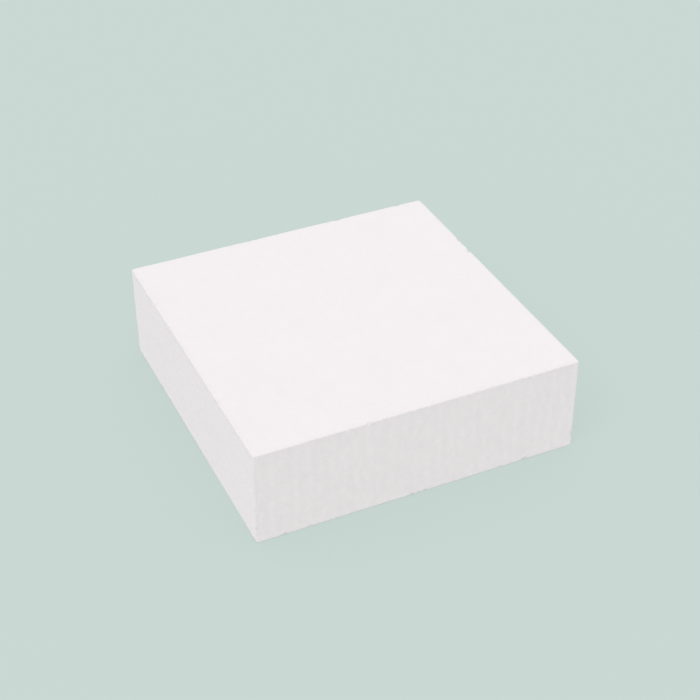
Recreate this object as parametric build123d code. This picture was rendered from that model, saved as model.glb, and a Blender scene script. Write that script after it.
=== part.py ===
from build123d import *

import os

# A gymnastics chalk block: a square, flat block of pressed magnesium carbonate, solid right
# through, with six flat faces. It is one piece, with nothing fitted to it or moving in it.
#
# Millimetres. +Z is up, X runs along the two sawn sides, and Y along the two smoother sides. The
# origin is the centre of the underside, which lies on the table.

# Overall sizes
block_width = 72.0  # along X
block_depth = 72.0  # along Y
block_height = 22.0  # along Z

# How far handling has rubbed the edges down, as a radius
upright_edge_round = 0.35  # the four upright edges, where fingers grip the block
rim_round = 0.25  # the edges round the top and the underside


def rim_edges(body):
    """The edges that run round the top face and round the underside."""
    levels = body.edges().filter_by(GeomType.LINE).filter_by(Axis.Z, reverse=True)
    rounds = body.edges().filter_by(GeomType.CIRCLE)
    return levels + rounds


def chalk_block():
    """The block lying on its underside, with every edge softened."""
    plan = RectangleRounded(block_width, block_depth, upright_edge_round)
    body = extrude(plan, block_height)
    return fillet(rim_edges(body), rim_round)


def main():
    os.makedirs("parts", exist_ok=True)
    nodes = {"chalk_block": chalk_block()}
    for name, shape in nodes.items():
        export_step(shape, f"parts/{name}.step")


main()
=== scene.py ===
import math
import random

import bmesh
import bpy
import numpy as np
from mathutils import Matrix, Vector, noise


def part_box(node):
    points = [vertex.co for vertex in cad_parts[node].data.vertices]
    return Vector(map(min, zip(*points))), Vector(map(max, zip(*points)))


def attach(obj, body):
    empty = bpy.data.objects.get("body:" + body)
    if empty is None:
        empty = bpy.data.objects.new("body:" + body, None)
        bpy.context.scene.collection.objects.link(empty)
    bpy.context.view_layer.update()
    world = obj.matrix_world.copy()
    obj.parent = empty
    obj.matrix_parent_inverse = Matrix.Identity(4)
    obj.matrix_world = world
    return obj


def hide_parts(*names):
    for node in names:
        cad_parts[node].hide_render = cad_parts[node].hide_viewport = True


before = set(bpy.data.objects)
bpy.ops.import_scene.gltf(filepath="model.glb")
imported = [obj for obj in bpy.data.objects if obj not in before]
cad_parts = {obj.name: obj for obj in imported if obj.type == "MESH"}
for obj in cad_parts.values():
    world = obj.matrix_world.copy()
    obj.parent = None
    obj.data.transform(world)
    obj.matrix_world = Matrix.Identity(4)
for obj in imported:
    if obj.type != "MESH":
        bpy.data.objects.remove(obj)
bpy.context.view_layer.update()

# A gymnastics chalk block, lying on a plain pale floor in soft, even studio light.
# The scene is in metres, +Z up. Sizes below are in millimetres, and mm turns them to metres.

mm = 0.001
cadLow, cadHigh = (np.array(corner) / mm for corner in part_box("chalk_block"))
blockSize = cadHigh - cadLow
blockMiddle = (cadHigh + cadLow) / 2
half = blockSize / 2
scene = bpy.context.scene


def linearColour(hexCode):
    # sRGB hex to linear RGBA
    parts = [int(hexCode[i:i + 2], 16) / 255 for i in (1, 3, 5)]
    return [c / 12.92 if c <= 0.04045 else ((c + 0.055) / 1.055) ** 2.4 for c in parts] + [1.0]


def addNode(tree, kind, settings, inputs):
    # settings are the node's own properties; an input takes a value or another node's output
    node = tree.nodes.new("ShaderNode" + kind)
    for name, value in settings.items():
        setattr(node, name, value)
    for name, value in inputs.items():
        if isinstance(value, bpy.types.NodeSocket):
            tree.links.new(value, node.inputs[name])
        else:
            node.inputs[name].default_value = value
    return node


def towards(azimuth, elevation):
    # unit vector from the block to a camera or light; azimuth 0 is in front, at -Y
    turn, rise = math.radians(azimuth), math.radians(elevation)
    return Vector((math.sin(turn) * math.cos(rise), -math.cos(turn) * math.cos(rise), math.sin(rise)))


# Camera

cameraView = {
    "azimuth": -24.88,  # degrees round the block
    "elevation": 35.94,  # degrees above the floor
    "roll": -0.10,  # degrees
    "distance": 334.0,  # from the point it aims at
    "aimRight": 0.88,  # how far that point is from the block's middle, across the picture
    "aimUp": 1.07,  # and up it
    "lens": 78.9,  # focal length, on a sensor 36 wide
    "nearest": 10.0,  # the camera sees nothing closer than this
}


def placeCamera(view):
    back = towards(view["azimuth"], view["elevation"])
    right = Vector((0, 0, 1)).cross(back).normalized()
    up = back.cross(right)
    aim = Vector(blockMiddle) + view["aimRight"] * right + view["aimUp"] * up
    camera = bpy.data.objects.new("camera", bpy.data.cameras.new("camera"))
    scene.collection.objects.link(camera)
    turn = Matrix((right, up, back)).transposed() @ Matrix.Rotation(math.radians(view["roll"]), 3, "Z")
    camera.matrix_world = Matrix.LocRotScale((aim + view["distance"] * back) * mm, turn, None)
    camera.data.lens = view["lens"]
    camera.data.clip_start = view["nearest"] * mm
    scene.camera = camera


placeCamera(cameraView)
print("camera placed")


# The block's shape: a box of small square cells, then rounded, rubbed and chipped as chalk is

blockShape = {
    "cell": 0.88,  # size of a mesh cell in the middle of a face
    "fineBands": (2.0, 1.0, 0.45),  # from an edge; inside each one the cells are halved again
    "uprightRound": 0.35,  # radius of the four upright edges, where fingers hold the block
    "rimRound": 0.25,  # radius round the top and the underside
    "drift": 0.22,  # share by which those radii wander along an edge
    "driftLength": 5.0,  # from a wide stretch to a narrow one, about
    "cornerWear": 0.07,  # more radius at a corner
    "cornerReach": 1.2,  # how far from the corner that lasts
    "crumble": 0.06,  # depth of the roughness where an edge has rubbed away
    "crumbSize": 0.4,
    "crumbOctaves": 3,  # layers of finer and finer crumbs
    "rubbed": (0.25, 1.3),  # from an edge: rubbed all over up to the first, not at all past the second
    "warp": 0.03,  # how far a face strays from flat, always inwards
    "warpLength": 21.0,
    "sawRidge": 0.009,  # height of the ridges that the saw left on the two sawn sides
    "sawPitch": 2.6,  # from one ridge to the next, about
    "sawLength": 5.5,  # before a ridge fades into the next
    "sawOctaves": 2,  # layers of ridges, each finer than the last
}

chipShape = {
    "seed": 1506,
    "count": 320,
    "depth": (0.05, 0.32),  # into the rounded edge, smallest and largest
    "rarity": 3.6,  # more makes large chips rarer
    "scoop": (2.0, 6.0),  # radius of the hollow, as so many times its depth
    "lean": 0.45,  # how far a chip may lean to one of the two faces, in radians
    "ragged": 0.3,  # share by which that radius varies
    "raggedSize": 0.4,
}


def noiseAt(points, size, octaves=1):
    # smooth noise, about -1 to 1, in lumps that are size across; one size, or one for each axis
    scaled = np.asarray(points) / size
    return np.array([noise.fractal(Vector(p), 1.0, 2.0, octaves) for p in scaled])


def fade(values, start, end):
    # 0 at start and 1 at end, eased between them
    share = np.clip((values - start) / (end - start), 0, 1)
    return share * share * (3 - 2 * share)


def edgeDistance(points):
    # from a point on the sharp box, along its face, to the nearest edge
    return np.sort(half - np.abs(points - blockMiddle), axis=1)[:, 1]


def latticeBox(shape):
    # a sharp box of square cells, which are finer near its edges
    box = bmesh.new()
    place = Matrix.Translation(blockMiddle) @ Matrix.Diagonal((*blockSize, 1))
    bmesh.ops.create_cube(box, size=1.0, matrix=place)
    for axis, side in enumerate(blockSize):
        along = [e for e in box.edges if abs((e.verts[0].co - e.verts[1].co)[axis]) > shape["cell"]]
        bmesh.ops.subdivide_edges(box, edges=along, cuts=round(side / shape["cell"]) - 1,
                                  use_grid_fill=True)
    for band in shape["fineBands"]:
        middles = np.array([(e.verts[0].co + e.verts[1].co) / 2 for e in box.edges])
        near = [e for e, gap in zip(box.edges, edgeDistance(middles)) if gap < band]
        bmesh.ops.subdivide_edges(box, edges=near, cuts=1, use_grid_fill=True)
    mesh = bpy.data.meshes.new("pressedBlock")
    box.to_mesh(mesh)
    box.free()
    return mesh


def getPoints(mesh):
    points = np.empty(len(mesh.vertices) * 3)
    mesh.vertices.foreach_get("co", points)
    return points.reshape(-1, 3)


def layOutFaces(mesh):
    # each face's material slot and its place on a square sheet, for baking: two faces to a row
    gap = 2.0  # between faces
    sheet = 2 * blockSize[0] + 3 * gap
    normals = np.empty(len(mesh.polygons) * 3)
    mesh.polygons.foreach_get("normal", normals)
    normals = normals.reshape(-1, 3)
    axes = np.abs(normals).argmax(axis=1)
    mesh.polygons.foreach_set("material_index", 2 - axes)  # Z, Y and X sides in that order
    sizes = np.empty(len(mesh.polygons), int)
    mesh.polygons.foreach_get("loop_total", sizes)
    corners = np.empty(len(mesh.loops), int)
    mesh.loops.foreach_get("vertex_index", corners)
    places = getPoints(mesh)[corners] - cadLow
    cornerAxis = np.repeat(axes, sizes)
    positive = np.repeat(normals[np.arange(len(axes)), axes] > 0, sizes)
    rows = np.array([3 * gap + blockSize[1] + blockSize[2], 2 * gap + blockSize[1], gap])  # X, Y, Z
    across = np.where(cornerAxis == 0, places[:, 1], places[:, 0])
    upwards = np.where(cornerAxis == 2, places[:, 1], places[:, 2])
    flat = np.stack((across + gap + positive * (blockSize[0] + gap), upwards + rows[cornerAxis]), 1)
    mesh.uv_layers.new(name="OFBake").data.foreach_set("uv", (flat / sheet).ravel())


def wornRadii(points, shape):
    # the two edge radii near each point, which wander and grow at the corners
    toCorner = np.linalg.norm(half - np.abs(points - blockMiddle), axis=1)
    more = shape["cornerWear"] * np.exp(-(toCorner / shape["cornerReach"]) ** 2)
    drift = 1 + shape["drift"] * noiseAt(points, shape["driftLength"])
    return shape["uprightRound"] * drift + more, shape["rimRound"] * drift + more


def roundedDistance(points, uprightRound, rimRound):
    # from the surface of the rounded block, less than zero inside it
    offset = np.abs(points - blockMiddle) - half
    reach = offset[:, :2] + uprightRound[:, None]
    plan = np.hypot(*np.maximum(reach, 0).T) + np.minimum(reach.max(axis=1), 0) - uprightRound
    rim = np.stack((plan, offset[:, 2])) + rimRound
    return np.hypot(*np.maximum(rim, 0)) + np.minimum(rim.max(axis=0), 0) - rimRound


def roundOff(points, radii):
    # moves each point onto the rounded block, and gives the direction out of it there
    step = 0.002  # each way, to measure the slope
    for _ in range(4):  # lands within a thousandth of a millimetre
        slope = np.stack([roundedDistance(points + step * axis, *radii)
                          - roundedDistance(points - step * axis, *radii) for axis in np.eye(3)], 1)
        outward = slope / np.linalg.norm(slope, axis=1, keepdims=True)
        points = points - outward * roundedDistance(points, *radii)[:, None]
    return points, outward


def chipPlaces(chips):
    # centre and radius of the ball that scoops out each chip, along the block's edges
    draw = random.Random(chips["seed"])
    edges = [(axis, signs) for axis in range(3) for signs in ((-1, -1), (-1, 1), (1, -1), (1, 1))]
    for axis, signs in draw.choices(edges, [blockSize[axis] for axis, _ in edges], k=chips["count"]):
        low, high = chips["depth"]
        depth = low + (high - low) * draw.random() ** chips["rarity"]
        radius = depth * draw.uniform(*chips["scoop"])
        rounding = blockShape["uprightRound" if axis == 2 else "rimRound"]
        sides = [k for k in range(3) if k != axis]
        lean = math.pi / 4 + draw.uniform(-chips["lean"], chips["lean"])  # from halfway between them
        out = np.zeros(3)
        out[sides] = math.cos(lean) * signs[0], math.sin(lean) * signs[1]
        centre = blockMiddle + draw.uniform(-1, 1) * half * np.eye(3)[axis]
        centre[sides] += signs * (half[sides] - rounding)
        yield centre + out * (rounding - depth + radius), radius


def chipAway(points, chips):
    # pushes the points inside each ball out onto its surface, and says which were moved
    broken = np.zeros(len(points))
    for centre, radius in chipPlaces(chips):
        reach = points - centre
        gap = np.linalg.norm(reach, axis=1)
        near = np.flatnonzero(gap < radius * (1 + chips["ragged"]))
        ball = radius * (1 + chips["ragged"] * noiseAt(points[near], chips["raggedSize"]))
        inside = near[gap[near] < ball]
        ball = ball[gap[near] < ball]
        points[inside] = centre + reach[inside] * (ball / gap[inside])[:, None]
        broken[inside] = 1
    return points, broken


def pressedBlock(shape, chips):
    mesh = latticeBox(shape)
    layOutFaces(mesh)
    print("block cut into", len(mesh.polygons), "cells")
    sharp = getPoints(mesh)
    points, outward = roundOff(sharp, wornRadii(sharp, shape))
    rubbed = 1 - fade(edgeDistance(sharp), *shape["rubbed"])
    crumbs = np.maximum(noiseAt(sharp, shape["crumbSize"], shape["crumbOctaves"]), 0)
    ridges = noiseAt(sharp, (shape["sawPitch"] / 2, 1, shape["sawLength"]), shape["sawOctaves"])
    depth = shape["crumble"] * rubbed * crumbs
    depth += shape["warp"] * (0.5 + 0.5 * noiseAt(sharp, shape["warpLength"]))
    depth += shape["sawRidge"] * (0.5 + 0.5 * ridges) * np.abs(outward[:, 1])  # only front and back
    points -= outward * np.maximum(depth, 0)[:, None]
    points, broken = chipAway(points, chips)
    print("edges rounded, rubbed and chipped")
    mesh.vertices.foreach_set("co", (points * mm).ravel())
    for name, values in (("rubbed", rubbed), ("broken", broken)):
        mesh.attributes.new(name, "FLOAT", "POINT").data.foreach_set("value", values)
    mesh.shade_smooth()
    mesh.update()
    block = bpy.data.objects.new("pressed_chalk_block", mesh)
    scene.collection.objects.link(block)
    return block


# Materials: all three are pressed light magnesium carbonate, a dead-matt white powder that holds
# together by itself. They differ in how each face was made. The powder's own grains are under 0.05
# across, too fine to show, so grain is drawn as clumps of them, as coarse as it needs to be.

chalkTones = {
    "light": "#FCF8F9",  # clean powder, a touch warmer than paper white
    "deep": "#D6D0D2",  # the dark end of the tone scale; pores take a little of it as painted shade
    "ior": 1.53,
    "powderScatter": 0.3,  # diffuse roughness: loose powder throws light back evenly
    "sheen": 0.06,  # faint bloom of loose powder at a grazing angle
    "sheenRoughness": 0.6,
}

# tone runs from the deep colour, 0, to the light one, 1, and each pattern has its own share of it; the
# pores' share is below zero, painted shade in their dimples
chalkFaces = {
    # Top and underside, pressed against the mould: the calmest faces, with a few shut pores
    "pressedMagnesiumCarbonate": {
        "tone": 0.87, "roughness": (0.84, 0.94),
        "clouds": {"size": (9.0, 9.0, 9.0), "tone": 0.07, "depth": 0.0},
        "grain": {"size": (0.6, 0.6, 0.6), "tone": 0.22, "depth": 0.03},
        "strokes": {"size": (2.2, 5.0, 3.0), "tone": 0.05, "depth": 0.008},
        "poresWithPaintedShade": {"spacing": 1.8, "width": 0.45, "share": 0.05, "tone": -0.05, "depth": -0.03},
    },
    # Front and back, sawn: broken upright lines from the saw, which show more than the grain
    "sawnMagnesiumCarbonate": {
        "tone": 0.85, "roughness": (0.92, 1.0),
        "clouds": {"size": (6.0, 6.0, 6.0), "tone": 0.05, "depth": 0.0},
        "grain": {"size": (0.7, 0.7, 0.7), "tone": 0.30, "depth": 0.070},
        "strokes": {"size": (1.1, 1.1, 2.4), "tone": 0.12, "depth": 0.030},
        "lines": {"pitch": 2.6, "wander": 4.5, "wanderSize": 2.8, "wanderDetail": 1.0,
                  "tone": 0.10, "depth": 0.025},
        "poresWithPaintedShade": {"spacing": 1.4, "width": 0.5, "share": 0.06, "tone": -0.08, "depth": -0.05},
    },
    # Left and right, sliced with a knife: the same clumped grain all over, dragged a little sideways
    "slicedMagnesiumCarbonate": {
        "tone": 0.86, "roughness": (0.88, 0.97),
        "clouds": {"size": (7.0, 7.0, 7.0), "tone": 0.05, "depth": 0.0},
        "grain": {"size": (1.0, 1.0, 1.0), "tone": 0.62, "depth": 0.11},
        "strokes": {"size": (1.4, 9.0, 1.4), "tone": 0.05, "depth": 0.015},
        "poresWithPaintedShade": {"spacing": 1.6, "width": 0.45, "share": 0.05, "tone": -0.06, "depth": -0.04},
    },
}

# how many layers of finer noise each kind of pattern holds, and how strong they are
noiseKinds = {"clouds": (3.0, 0.5), "grain": (4.0, 0.75), "strokes": (2.0, 0.5), "crumbs": (3.0, 0.65)}

rubbedEdge = {
    "crumbs": {"size": (0.45, 0.45, 0.45), "tone": 0.30, "depth": 0.12},  # loose along a rubbed edge
    "brokenPaintedShade": -0.03,  # painted shade: a fresh break is drawn a little darker than the powder round it
}


def sumLayers(tree, start, layers):
    # start plus each pattern times its weight
    total = start
    for pattern, weight in layers:
        total = addNode(tree, "Math", {"operation": "MULTIPLY_ADD"},
                        {0: pattern, 1: weight, 2: total}).outputs[0]
    return total


def sawLines(tree, place, lines, strokes):
    # upright lines that wander, and fade in and out with the strokes
    bands = math.pi / 10 / lines["pitch"]  # a wave texture has 10 / pi bands to the unit
    waves = addNode(tree, "TexWave", {"bands_direction": "X"}, {
        "Vector": place, "Scale": bands, "Distortion": lines["wander"],
        "Detail": lines["wanderDetail"], "Detail Scale": 1 / bands / lines["wanderSize"]})
    return addNode(tree, "Math", {"operation": "MULTIPLY"},
                   {0: waves.outputs["Fac"], 1: strokes}).outputs[0]


def shutPores(tree, place, poresWithPaintedShade):
    # soft round dimples in a few cells of a random pattern; the mask sinks the bump and also darkens
    # the colour there as painted shade
    flatShare = 0.4  # of a pore's width, at its bottom
    cells = addNode(tree, "TexVoronoi", {}, {"Vector": place, "Scale": 1 / poresWithPaintedShade["spacing"]})
    reach = poresWithPaintedShade["width"] / 2 / poresWithPaintedShade["spacing"]
    hollow = addNode(tree, "MapRange", {"interpolation_type": "SMOOTHSTEP"},
                     {"Value": cells.outputs["Distance"], "From Min": flatShare * reach,
                      "From Max": reach, "To Min": 1.0, "To Max": 0.0}).outputs["Result"]
    chosen = addNode(tree, "Math", {"operation": "LESS_THAN"},
                     {0: cells.outputs["Color"], 1: poresWithPaintedShade["share"]}).outputs[0]
    return addNode(tree, "Math", {"operation": "MULTIPLY"}, {0: hollow, 1: chosen}).outputs[0]


def chalkMaterial(name, look, tones, edge):
    material = bpy.data.materials.new(name)
    material.use_nodes = True
    tree = material.node_tree
    tree.nodes.clear()
    where = addNode(tree, "TexCoord", {}, {}).outputs["Object"]
    place = addNode(tree, "VectorMath", {"operation": "SCALE"},
                    {"Vector": where, "Scale": 1 / mm}).outputs["Vector"]  # one unit is 1 mm
    rubbed = addNode(tree, "Attribute", {"attribute_name": "rubbed"}, {}).outputs["Fac"]
    broken = addNode(tree, "Attribute", {"attribute_name": "broken"}, {}).outputs["Fac"]

    layers = {**look, "crumbs": edge["crumbs"]}
    patterns = {}
    mean = look["tone"]
    for kind, (detail, roughness) in noiseKinds.items():
        drawn = addNode(tree, "VectorMath", {"operation": "DIVIDE"},
                        {0: place, 1: layers[kind]["size"]})
        patterns[kind] = addNode(tree, "TexNoise", {}, {
            "Vector": drawn.outputs["Vector"], "Scale": 1.0, "Detail": detail,
            "Roughness": roughness}).outputs["Fac"]
        if kind in look:
            mean -= look[kind]["tone"] / 2  # noise averages a half, so this keeps the face's tone
    patterns["crumbs"] = addNode(tree, "Math", {"operation": "MULTIPLY"},
                                 {0: patterns["crumbs"], 1: rubbed}).outputs[0]
    if "lines" in look:
        patterns["lines"] = sawLines(tree, place, look["lines"], patterns["strokes"])
        mean -= look["lines"]["tone"] / 4  # lines times strokes average a quarter
    patterns["poresWithPaintedShade"] = shutPores(tree, place, look["poresWithPaintedShade"])

    # the pores' tone here is painted shade in their dimples
    tone = sumLayers(tree, mean, [(patterns[kind], layers[kind]["tone"]) for kind in patterns])
    # keeps a rubbed edge's average tone, and darkens fresh breaks as painted shade
    tone = sumLayers(tree, tone, [(rubbed, -edge["crumbs"]["tone"] / 2), (broken, edge["brokenPaintedShade"])])
    height = sumLayers(tree, 0.0, [(patterns[kind], layers[kind]["depth"]) for kind in patterns])
    colour = addNode(tree, "Mix", {"data_type": "RGBA"},
                     {0: tone, 6: linearColour(tones["deep"]), 7: linearColour(tones["light"])})
    noiseSpan = (0.3, 0.7)  # noise seldom goes past these
    rough = addNode(tree, "MapRange", {}, {
        "Value": patterns["clouds"], "From Min": noiseSpan[0], "From Max": noiseSpan[1],
        "To Min": look["roughness"][0], "To Max": look["roughness"][1]}).outputs["Result"]
    relief = addNode(tree, "Bump", {}, {"Height": height, "Strength": 1.0, "Distance": mm})
    surface = addNode(tree, "BsdfPrincipled", {}, {
        "Base Color": colour.outputs[2], "Roughness": rough, "Normal": relief.outputs["Normal"],
        "IOR": tones["ior"], "Diffuse Roughness": tones["powderScatter"],
        "Sheen Weight": tones["sheen"], "Sheen Roughness": tones["sheenRoughness"]})
    addNode(tree, "OutputMaterial", {}, {"Surface": surface.outputs["BSDF"]})
    return material


chalkBlock = pressedBlock(blockShape, chipShape)
for finishName, finish in chalkFaces.items():
    chalkBlock.data.materials.append(chalkMaterial(finishName, finish, chalkTones, rubbedEdge))
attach(chalkBlock, "root")
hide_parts("chalk_block")
print("block finished in", len(chalkBlock.data.materials), "kinds of chalk surface")


# Studio: paper on a light table, an even dome of light and one broad soft lamp

studio = {
    "floorRadius": 2500.0,
    "floorSides": 96,
    "floorDrop": 0.02,  # below the block, so that the two don't share a plane
    "floorColour": "#CCDBD6",  # pale sage, as the camera sees it
    "bounceColour": "#D6D9D8",  # what it sends up to the block, which hardly tints white chalk
    "floorGlow": 0.6,  # share of the floor's light that comes up through it
    "backdropColour": "#C9D8D3",  # beyond the floor, as light as the floor looks
    "dome": 0.892,
    "domeColour": "#FFFFFF",
}

keyLamp = {
    "azimuth": -60.0,
    "elevation": 52.0,
    "strength": 0.33,
    "softness": 40.0,  # degrees across
    "colour": "#FFFFFF",
}


def studioFloor(plan, lamp):
    disc = bmesh.new()
    bmesh.ops.create_circle(disc, cap_ends=True, segments=plan["floorSides"],
                            radius=plan["floorRadius"] * mm,
                            matrix=Matrix.Translation((0, 0, -plan["floorDrop"] * mm)))
    mesh = bpy.data.meshes.new("studioFloor")
    disc.to_mesh(mesh)
    disc.free()
    # dyed paper, backlit: no gloss at any angle, and only a faint shadow
    paper = bpy.data.materials.new("mattBackgroundPaper")
    paper.use_nodes = True
    tree = paper.node_tree
    tree.nodes.clear()
    # what white paper sends up under the dome and the lamp
    level = plan["dome"] + lamp["strength"] * math.sin(math.radians(lamp["elevation"])) / math.pi
    looks = []
    for name in ("bounceColour", "floorColour"):
        colour = linearColour(plan[name])
        lit = addNode(tree, "BsdfDiffuse", {}, {"Color": colour}).outputs[0]
        glow = addNode(tree, "Emission", {}, {"Color": colour, "Strength": level}).outputs[0]
        looks.append(addNode(tree, "MixShader", {}, {0: plan["floorGlow"], 1: lit, 2: glow}).outputs[0])
    ray = addNode(tree, "LightPath", {}, {}).outputs["Is Camera Ray"]
    both = addNode(tree, "MixShader", {}, {0: ray, 1: looks[0], 2: looks[1]})
    addNode(tree, "OutputMaterial", {}, {"Surface": both.outputs[0]})
    mesh.materials.append(paper)
    floor = bpy.data.objects.new("studioFloor", mesh)
    scene.collection.objects.link(floor)


def lightDome(plan):
    # white light from all round; the camera sees the backdrop's colour instead
    world = bpy.data.worlds.new("studio")
    world.use_nodes = True
    tree = world.node_tree
    tree.nodes.clear()
    glow = addNode(tree, "Background", {}, {"Color": linearColour(plan["domeColour"]),
                                            "Strength": plan["dome"]})
    seen = addNode(tree, "Background", {}, {"Color": linearColour(plan["backdropColour"])})
    ray = addNode(tree, "LightPath", {}, {}).outputs["Is Camera Ray"]
    both = addNode(tree, "MixShader", {}, {0: ray, 1: glow.outputs[0], 2: seen.outputs[0]})
    addNode(tree, "OutputWorld", {}, {"Surface": both.outputs[0]})
    scene.world = world


def hangLamp(name, lamp):
    # a sun lamp, so that the light doesn't fall off across the block
    light = bpy.data.lights.new(name, "SUN")
    light.energy = lamp["strength"]
    light.angle = math.radians(lamp["softness"])
    light.color = linearColour(lamp["colour"])[:3]
    holder = bpy.data.objects.new(name, light)
    aim = towards(lamp["azimuth"], lamp["elevation"])
    holder.rotation_euler = aim.to_track_quat("Z", "Y").to_euler()
    scene.collection.objects.link(holder)


studioFloor(studio, keyLamp)
lightDome(studio)
hangLamp("keyLamp", keyLamp)
scene.view_settings.view_transform = "Standard"
scene.view_settings.look = "None"
print("studio lit")
